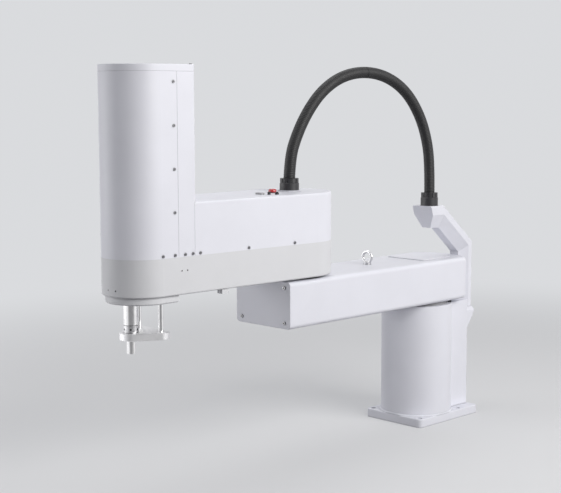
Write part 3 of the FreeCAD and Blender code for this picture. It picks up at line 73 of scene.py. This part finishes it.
# Light: a pale studio. Three lamps light the robot, with a weak even fill. Cameras and glossy
# surfaces see a plain pale room instead of the fill.
bpy.context.scene.view_settings.view_transform = "Standard"
ROOM = (0.70, 0.71, 0.73)              # as the camera sees it
ROOM_BRIGHT = (0.98, 0.98, 1.0)        # as glossy surfaces see it
ROOM_DARK = (0.27, 0.27, 0.28)         # and its one side without a lamp
DARK_HEADING = 48                      # middle of that side, turned from +x towards +y
DARK_STARTS, DARK_FULL = 0.60, 0.93    # cosines of the angle from its middle
FILL = (0.93, 0.94, 1.0)
FILL_STRENGTH = 0.18

# Sockets of a colour mix node, whose names aren't unique
SHARE, ONE, TWO, MIXED = 0, 6, 7, 2


def colour_mix(nodes, one=(0.5, 0.5, 0.5), two=(0.5, 0.5, 0.5)):
    """A mix of two colours. A wire can take the place of either."""
    mix = nodes.new("ShaderNodeMix")
    mix.data_type = "RGBA"
    mix.inputs[ONE].default_value = (*one, 1)
    mix.inputs[TWO].default_value = (*two, 1)
    return mix


def map_range(nodes, start, end, low=0.0, high=1.0, kind="LINEAR"):
    """Takes values between start and end to values between low and high."""
    band = nodes.new("ShaderNodeMapRange")
    band.interpolation_type = kind
    band.inputs["From Min"].default_value = start
    band.inputs["From Max"].default_value = end
    band.inputs["To Min"].default_value = low
    band.inputs["To Max"].default_value = high
    return band


def seen_directly(nodes, wires):
    """1 for the rays that should show the plain room: camera, glossy and transmission."""
    rays = nodes.new("ShaderNodeLightPath")
    found = rays.outputs["Is Camera Ray"]
    for kind in ("Is Glossy Ray", "Is Transmission Ray"):
        either = nodes.new("ShaderNodeMath")
        either.operation = "MAXIMUM"
        wires.new(found, either.inputs[0])
        wires.new(rays.outputs[kind], either.inputs[1])
        found = either.outputs[0]
    return found


def room_tone(nodes, wires, way):
    """The room's colour in a direction: plain, and for glossy rays bright with one darker side."""
    heading = math.radians(DARK_HEADING)
    nearness = nodes.new("ShaderNodeVectorMath")
    nearness.operation = "DOT_PRODUCT"
    nearness.inputs[1].default_value = (math.cos(heading), math.sin(heading), 0)
    shade = map_range(nodes, DARK_STARTS, DARK_FULL, kind="SMOOTHSTEP")
    sides = colour_mix(nodes, ROOM_BRIGHT, ROOM_DARK)
    rays = nodes.new("ShaderNodeLightPath")
    tone = colour_mix(nodes, ROOM)
    wires.new(way, nearness.inputs[0])
    wires.new(nearness.outputs["Value"], shade.inputs["Value"])
    wires.new(shade.outputs["Result"], sides.inputs[SHARE])
    wires.new(rays.outputs["Is Glossy Ray"], tone.inputs[SHARE])
    wires.new(sides.outputs[MIXED], tone.inputs[TWO])
    return tone.outputs[MIXED]


world = bpy.data.worlds.new("studio")
bpy.context.scene.world = world
world.use_nodes = True
nodes, wires = world.node_tree.nodes, world.node_tree.links
nodes.clear()
out = nodes.new("ShaderNodeOutputWorld")
either = nodes.new("ShaderNodeMixShader")
fill = nodes.new("ShaderNodeBackground")
fill.inputs["Color"].default_value = (*FILL, 1)
fill.inputs["Strength"].default_value = FILL_STRENGTH
room = nodes.new("ShaderNodeBackground")
room.inputs["Strength"].default_value = 1.0
facing = nodes.new("ShaderNodeTexCoord")
wires.new(room_tone(nodes, wires, facing.outputs["Generated"]), room.inputs["Color"])
wires.new(seen_directly(nodes, wires), either.inputs[0])
wires.new(fill.outputs[0], either.inputs[1])
wires.new(room.outputs[0], either.inputs[2])
wires.new(either.outputs[0], out.inputs["Surface"])


def area_lamp(name, where, target, size, watts, colour=(1, 1, 1)):
    data = bpy.data.lights.new(name, "AREA")
    data.shape = "RECTANGLE"
    data.size, data.size_y = size
    data.energy = watts
    data.color = colour
    lamp = bpy.data.objects.new(name, data)
    lamp.location = where
    aim = Vector(target) - Vector(where)
    lamp.rotation_euler = aim.to_track_quat("-Z", "Y").to_euler()
    bpy.context.scene.collection.objects.link(lamp)


# The overhead lamp hangs a little towards -y, the main one stands high on the +y side, and the
# weak one is ahead of the arm on the -y side, at the height of the arm's end.
area_lamp("overhead", where=(0.1, -0.9, 3.2), target=(0.4, 0, 0.5), size=(2.6, 2.0), watts=22)
area_lamp("main", where=(-0.05, 3.9, 2.5), target=(0.5, 0, 0.6), size=(3.6, 2.8), watts=184,
          colour=(1.0, 0.99, 0.97))
area_lamp("weak", where=(3.19, -2.37, 1.0), target=(1.2, 0, 0.8), size=(2.6, 1.8), watts=40)


# Materials: every one is built from nodes, in object coordinates. Noise scales are per metre.
SKIN_STRENGTH, SKIN_DEPTH = 0.12, 0.0002
CLOUD_SCALE = 9.0
COAT_GLOSS_SCALE = 60.0
COAT_GLOSS = (-0.03, 0.04)             # added to the roughness at the noise's two ends
COAT_SHADE_REACH = 0.006                    # reach of the painted shade in a seam
CLEAR_COAT_ROUGHNESS = 0.2
MARKS_STRENGTH = 0.25
METAL_GLOSS = (-0.06, 0.08)
METAL_TONE_SCALE, METAL_TONE_LOW = 40.0, 0.93
# Painted shade in seams on metal: its reach, and the samples for all painted seam shade
METAL_SHADE_REACH = 0.005
SHADE_SAMPLES = 6
NOISE_LOW, NOISE_HIGH = 0.35, 0.65     # where most of a noise's values lie


def node_material(name, colour, roughness, metallic=0.0):
    material = bpy.data.materials.new(name)
    material.use_nodes = True
    shader = material.node_tree.nodes["Principled BSDF"]
    shader.inputs["Base Color"].default_value = (*colour, 1)
    shader.inputs["Roughness"].default_value = roughness
    shader.inputs["Metallic"].default_value = metallic
    return material, shader


def graph(material):
    return material.node_tree.nodes, material.node_tree.links


def grain(material, scale, stretch=(1, 1, 1), detail=3.0):
    """Noise in metres, drawn out along an axis where stretch is small."""
    nodes, wires = graph(material)
    place = nodes.new("ShaderNodeTexCoord")
    mapping = nodes.new("ShaderNodeMapping")
    mapping.inputs["Scale"].default_value = stretch
    noise = nodes.new("ShaderNodeTexNoise")
    noise.inputs["Scale"].default_value = scale
    noise.inputs["Detail"].default_value = detail
    wires.new(place.outputs["Object"], mapping.inputs["Vector"])
    wires.new(mapping.outputs["Vector"], noise.inputs["Vector"])
    return noise


def ramp(material, noise, low, high):
    """The noise as a value between low and high."""
    nodes, wires = graph(material)
    band = map_range(nodes, NOISE_LOW, NOISE_HIGH, low, high)
    wires.new(noise.outputs["Fac"], band.inputs["Value"])
    return band.outputs["Result"]


def tint(material, shader, noise, one, two):
    """Base colour that wanders between two tones. Returns the tone's output."""
    nodes, wires = graph(material)
    tone = colour_mix(nodes, one, two)
    wires.new(ramp(material, noise, 0, 1), tone.inputs[SHARE])
    wires.new(tone.outputs[MIXED], shader.inputs["Base Color"])
    return tone.outputs[MIXED]


def shade_seams(material, shader, tone, reach, depth):
    """Painted shade: darken the tone where surfaces lie close together, as shadow falls in a seam.
    """
    nodes, wires = graph(material)
    nearby = nodes.new("ShaderNodeAmbientOcclusion")
    nearby.samples = SHADE_SAMPLES
    nearby.inputs["Distance"].default_value = reach
    shaded_tone = colour_mix(nodes)
    shaded_tone.inputs[SHARE].default_value = depth
    wires.new(tone, nearby.inputs["Color"])
    wires.new(tone, shaded_tone.inputs[ONE])
    wires.new(nearby.outputs["Color"], shaded_tone.inputs[TWO])
    wires.new(shaded_tone.outputs[MIXED], shader.inputs["Base Color"])


def relief(material, shader, noise, strength, depth):
    nodes, wires = graph(material)
    bump = nodes.new("ShaderNodeBump")
    bump.inputs["Strength"].default_value = strength
    bump.inputs["Distance"].default_value = depth
    wires.new(noise.outputs["Fac"], bump.inputs["Height"])
    wires.new(bump.outputs["Normal"], shader.inputs["Normal"])


def gloss(material, shader, noise, roughness, change):
    wires = material.node_tree.links
    patches = ramp(material, noise, roughness + change[0], roughness + change[1])
    wires.new(patches, shader.inputs["Roughness"])


def coated(name, colour, roughness, peel, spread=0.012, coat=0.0, seam_shade=0.0):
    """Paint or moulded plastic: a fine skin relief, cloudy gloss and a slight change of tone."""
    material, shader = node_material(name, colour, roughness)
    relief(material, shader, grain(material, peel, detail=2.0), SKIN_STRENGTH, SKIN_DEPTH)
    tone = tint(material, shader, grain(material, CLOUD_SCALE, detail=4.0),
                [c * (1 - spread) for c in colour],
                [min(1.0, c * (1 + spread)) for c in colour])
    # Painted shade: a darker tone in seams, where surfaces lie close together
    if seam_shade:
        shade_seams(material, shader, tone, COAT_SHADE_REACH, seam_shade)
    gloss(material, shader, grain(material, COAT_GLOSS_SCALE), roughness, COAT_GLOSS)
    shader.inputs["Coat Weight"].default_value = coat
    shader.inputs["Coat Roughness"].default_value = CLEAR_COAT_ROUGHNESS
    return material


def machined(name, colour, roughness, stretch=(1, 1, 1), scale=900.0, depth=0.00005, seam_shade=0.0):
    """Metal with fine tool marks, drawn out along the axis whose stretch is small."""
    material, shader = node_material(name, colour, roughness, metallic=1.0)
    marks = grain(material, scale, stretch, detail=2.0)
    relief(material, shader, marks, MARKS_STRENGTH, depth)
    gloss(material, shader, marks, roughness, METAL_GLOSS)
    tone = tint(material, shader, grain(material, METAL_TONE_SCALE),
                [c * METAL_TONE_LOW for c in colour], colour)
    # Painted shade: a darker tone in seams and sockets, where surfaces lie close together
    if seam_shade:
        shade_seams(material, shader, tone, METAL_SHADE_REACH, seam_shade)
    return material


# The last number, where given, is the depth of painted shade in seams
white_paint = coated("white_paint", (0.78, 0.785, 0.85), 0.38, peel=700, seam_shade=0.8)
cover_plastic = coated("cover_plastic", (0.80, 0.805, 0.87), 0.42, peel=900, seam_shade=0.8)
grey_paint = coated("grey_paint", (0.71, 0.715, 0.74), 0.42, peel=700, seam_shade=0.8)
grey_plastic = coated("grey_plastic", (0.42, 0.42, 0.43), 0.45, peel=1200, spread=0.05)
black_plastic = coated("black_plastic", (0.022, 0.022, 0.025), 0.42, peel=1400, spread=0.2)
dark_case = coated("dark_case", (0.04, 0.04, 0.045), 0.5, peel=900, spread=0.15)
rubber = coated("rubber", (0.02, 0.02, 0.02), 0.75, peel=1600, spread=0.2)
grey_rubber = coated("grey_rubber", (0.24, 0.24, 0.25), 0.7, peel=1600, spread=0.1)
red_lens = coated("red_lens", (0.46, 0.02, 0.025), 0.14, peel=500, spread=0.05, coat=0.5)
hose_black = coated("hose_black", (0.010, 0.010, 0.011), 0.50, peel=1500, spread=0.2)
hose_black.node_tree.nodes["Principled BSDF"].inputs["Specular IOR Level"].default_value = 0.42

# The last number, where given, is the depth of painted shade in seams and screw sockets
ground_steel = machined("ground_steel", (0.90, 0.90, 0.90), 0.17, (1, 1, 0.06), depth=0.00001)
turned_steel = machined("turned_steel", (0.66, 0.66, 0.67), 0.26, (0.08, 0.08, 1.6),
                        depth=0.00002, seam_shade=0.95)
zinc = machined("zinc", (0.36, 0.36, 0.37), 0.36, scale=1500, seam_shade=0.95)
oxide_steel = machined("oxide_steel", (0.20, 0.20, 0.21), 0.42, scale=1500, seam_shade=0.95)
set_screw_black = machined("set_screw_black", (0.03, 0.03, 0.03), 0.6, scale=1500)
anodised = machined("anodised", (0.80, 0.80, 0.81), 0.44, scale=1200, depth=0.00002, seam_shade=0.8)
bronze = machined("bronze", (0.55, 0.40, 0.22), 0.38, (0.1, 0.1, 1.6))

FINISHES = {
    white_paint: ["base_casting", "rear_panel", "cable_bracket", "inner_arm_casting",
                  "inner_end_plate", "inner_hatch", "gland_plate"],
    cover_plastic: ["rear_cover", "tall_rear_cover", "tall_front_cover", "tall_lid"],
    grey_paint: ["outer_arm_tub", "quill_mouth", "elbow_stop_blocks"],
    black_plastic: ["power_connector", "signal_connector", "base_gland", "base_gland_collar",
                    "arm_gland", "arm_gland_collar", "lamp_base",
                    "button_bezel", "arm_air_fitting", "brake_button"],
    dark_case: ["shoulder_motor", "elbow_motor", "lift_motor", "tool_motor"],
    rubber: ["elbow_seal", "shoulder_stop_blocks"],
    grey_rubber: ["shoulder_seal"],
    red_lens: ["indicator_lamp"],
    ground_steel: ["guide_rods", "quill", "tool_shaft", "lead_screw"],
    turned_steel: ["quill_collar", "lifting_eye", "elbow_hub", "ball_nut", "screw_bearings",
                   "shoulder_reducer", "elbow_reducer", "shoulder_stop_pin", "base_air_ports"],
    zinc: ["panel_screws", "bracket_screws", "end_plate_screws"],
    oxide_steel: ["lid_screws", "cover_screws", "seam_screws"],
    grey_plastic: ["arm_socket"],
    anodised: ["link_plate", "carriage_plate", "axis_mast", "shoulder_flange"],
    bronze: ["rod_bushings", "quill_bushing"],
}
for finish, names in FINISHES.items():
    for name in names:
        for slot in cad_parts[name].material_slots:
            slot.material = finish


# New pieces
def new_piece(name, verts, faces, material):
    mesh = bpy.data.meshes.new(name)
    mesh.from_pydata(verts, [], faces)
    mesh.update()
    mesh.materials.append(material)
    piece = bpy.data.objects.new(name, mesh)
    bpy.context.scene.collection.objects.link(piece)
    return piece


def tube_faces(first, rings, sides):
    """Faces that join rings of points one after another and close both ends, from point first."""
    faces = []
    for ring in range(rings - 1):
        start = first + ring * sides
        for side in range(sides):
            one, two = start + side, start + (side + 1) % sides
            faces.append((one, two, two + sides, one + sides))
    last = first + (rings - 1) * sides
    faces.append(tuple(reversed(range(first, first + sides))))
    faces.append(tuple(range(last, last + sides)))
    return faces


# Set screws of the quill's clamp collar, with hexagon sockets, sunk in their holes
SCREW_COUNT = 6
SCREW_SIDES = 24
SCREW_ROUND = 0.00245                  # radius
SCREW_LONG = 0.0040
SCREW_BEVEL = 0.0004
SOCKET_FLAT = 0.00125                  # from the socket's middle to a flat
SOCKET_DEEP = 0.0022
SCREW_REACH = 0.0188                   # from the collar's axis to a screw's face
SCREW_RISE = 0.010                     # above the collar's underside
SCREW_FIRST = -10                      # direction of the first one, turned from +x
# Rings of points: the distance behind the screw's face, and the radius, or None for the socket
SCREW_RINGS = [
    (SCREW_LONG, SCREW_ROUND),
    (SCREW_BEVEL, SCREW_ROUND),
    (0.0, SCREW_ROUND - SCREW_BEVEL),
    (0.0, None),
    (SOCKET_DEEP, None),
]
collar_low, collar_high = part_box("quill_collar")
collar_centre = Vector(((collar_low[0] + collar_high[0]) / 2,
                        (collar_low[1] + collar_high[1]) / 2, collar_low[2] + SCREW_RISE))


def hexagon(turn):
    """Distance from the socket's middle to its wall in a direction."""
    return SOCKET_FLAT / math.cos(turn % (math.pi / 3) - math.pi / 6)


screw_verts, screw_faces = [], []
for screw in range(SCREW_COUNT):
    heading = math.radians(SCREW_FIRST + 360 / SCREW_COUNT * screw)
    out_way = Vector((math.cos(heading), math.sin(heading), 0))
    across = Vector((-math.sin(heading), math.cos(heading), 0))
    screw_faces += tube_faces(len(screw_verts), len(SCREW_RINGS), SCREW_SIDES)
    for behind, radius in SCREW_RINGS:
        for side in range(SCREW_SIDES):
            turn = 2 * math.pi * side / SCREW_SIDES
            rim = across * math.cos(turn) + Vector((0, 0, 1)) * math.sin(turn)
            reach = hexagon(turn) if radius is None else radius
            screw_verts.append(collar_centre + out_way * (SCREW_REACH - behind) + rim * reach)
set_screws = new_piece("collar_set_screws", screw_verts, screw_faces, set_screw_black)
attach(set_screws, "z_carriage")

# Cable conduit: a ribbed hose on the route between the two glands, in two halves that meet at the
# top
ROUTE = [
    (-0.062, 0.753), (-0.062, 0.835), (-0.049, 0.922), (-0.008, 1.012), (0.065, 1.091),
    (0.163, 1.137), (0.270, 1.150), (0.372, 1.134), (0.460, 1.089), (0.525, 1.024),
    (0.570, 0.955), (0.596, 0.893), (0.600, 0.831),
]
ROUTE_FINENESS = 64                    # steps of the smooth line per stretch of the route
HOSE_ROUND = 0.01725                   # radius
HOSE_SIDES = 40
RIB_PITCH = 0.0052
RIB_DEEP = 0.0011
RIB_WAVE = (0.5, 0.15, -0.5, 0.15)     # added to the radius over one rib, times its depth


def route_line(points):
    """The points of a smooth open spline through the plane y = 0."""
    data = bpy.data.curves.new("route", "CURVE")
    data.dimensions = "3D"
    data.resolution_u = ROUTE_FINENESS
    spline = data.splines.new("NURBS")
    spline.points.add(len(points) - 1)
    for point, (along, rise) in zip(spline.points, points):
        point.co = (along, 0, rise, 1)
    spline.order_u = 3
    spline.use_endpoint_u = True
    holder = bpy.data.objects.new("route", data)
    mesh = bpy.data.meshes.new_from_object(holder)
    line = [vertex.co.copy() for vertex in mesh.vertices]
    bpy.data.objects.remove(holder)
    bpy.data.meshes.remove(mesh)
    bpy.data.curves.remove(data)
    return line


def evenly(line, step):
    """Points at equal distances along a line of points, and the line's length."""
    total = sum((b - a).length for a, b in zip(line, line[1:]))
    count = max(2, round(total / step))
    found, walked, spot = [line[0]], 0.0, 1
    for index in range(1, count):
        want = total * index / count
        while walked + (line[spot] - line[spot - 1]).length < want:
            walked += (line[spot] - line[spot - 1]).length
            spot += 1
        part = (want - walked) / (line[spot] - line[spot - 1]).length
        found.append(line[spot - 1].lerp(line[spot], part))
    return found + [line[-1]], total


def hose(name, line):
    """A ribbed tube round a line in the plane y = 0, its middle points and its length."""
    centres, total = evenly(line, RIB_PITCH / len(RIB_WAVE))
    across = Vector((0, 1, 0))
    verts = []
    for index, centre in enumerate(centres):
        before = centres[max(0, index - 1)]
        after = centres[min(len(centres) - 1, index + 1)]
        up = (after - before).normalized().cross(across)
        radius = HOSE_ROUND + RIB_DEEP * RIB_WAVE[index % len(RIB_WAVE)]
        for side in range(HOSE_SIDES):
            turn = 2 * math.pi * side / HOSE_SIDES
            verts.append(centre + (across * math.cos(turn) + up * math.sin(turn)) * radius)
    piece = new_piece(name, verts, tube_faces(0, len(centres), HOSE_SIDES), hose_black)
    piece.data.polygons.foreach_set("use_smooth", [True] * len(piece.data.polygons))
    piece.data.update()
    return piece, centres, total


line = route_line(ROUTE)
top = max(range(len(line)), key=lambda i: line[i].z)
base_half, base_path, base_long = hose("hose_base_half", line[: top + 1])
arm_half, arm_path, arm_long = hose("hose_arm_half", list(reversed(line[top:])))
for thing in (base_half, arm_half):
    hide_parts("cable_conduit")
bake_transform(base_half)
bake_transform(arm_half)

# Floor: pale where it is seen, darker for the light that it throws back, and further out it
# takes on the room's own tone
FLOOR_HALF = 30
FLOOR_DROP = 0.0005                    # below the robot's foot
FLOOR_SEEN = (0.76, 0.76, 0.77)
FLOOR_UNSEEN = (0.24, 0.24, 0.25)
FLOOR_ROUGHNESS = 0.7
FLOOR_GRAIN, FLOOR_STRENGTH, FLOOR_DEPTH = 220.0, 0.1, 0.0005
FADE_STARTS, FADE_ENDS = 1.2, 3.4      # distance from the column's axis
FADE_LEAST = 0.4                       # share of the room's tone near the robot

floor_paint, floor_shader = node_material("floor_pale", FLOOR_SEEN, FLOOR_ROUGHNESS)
relief(floor_paint, floor_shader, grain(floor_paint, FLOOR_GRAIN), FLOOR_STRENGTH, FLOOR_DEPTH)
nodes, wires = graph(floor_paint)
paler = colour_mix(nodes, FLOOR_UNSEEN, FLOOR_SEEN)
wires.new(seen_directly(nodes, wires), paler.inputs[SHARE])
wires.new(paler.outputs[MIXED], floor_shader.inputs["Base Color"])
place = nodes.new("ShaderNodeTexCoord")
distance = nodes.new("ShaderNodeVectorMath")
distance.operation = "LENGTH"
fade = map_range(nodes, FADE_STARTS, FADE_ENDS, low=FADE_LEAST, kind="SMOOTHSTEP")
outward = nodes.new("ShaderNodeVectorMath")
outward.operation = "NORMALIZE"
glow = nodes.new("ShaderNodeEmission")
glow_share = nodes.new("ShaderNodeMath")
glow_share.operation = "MULTIPLY"
surface = nodes.new("ShaderNodeMixShader")
wires.new(place.outputs["Object"], distance.inputs[0])
wires.new(distance.outputs["Value"], fade.inputs["Value"])
wires.new(place.outputs["Object"], outward.inputs[0])
wires.new(room_tone(nodes, wires, outward.outputs["Vector"]), glow.inputs["Color"])
wires.new(fade.outputs["Result"], glow_share.inputs[0])
wires.new(seen_directly(nodes, wires), glow_share.inputs[1])
wires.new(glow_share.outputs[0], surface.inputs[0])
wires.new(floor_shader.outputs[0], surface.inputs[1])
wires.new(glow.outputs[0], surface.inputs[2])
wires.new(surface.outputs[0], nodes["Material Output"].inputs["Surface"])

corners = [(-FLOOR_HALF, -FLOOR_HALF, 0), (FLOOR_HALF, -FLOOR_HALF, 0),
           (FLOOR_HALF, FLOOR_HALF, 0), (-FLOOR_HALF, FLOOR_HALF, 0)]
floor = new_piece("floor", corners, [(0, 1, 2, 3)], floor_paint)
floor.location.z = -FLOOR_DROP
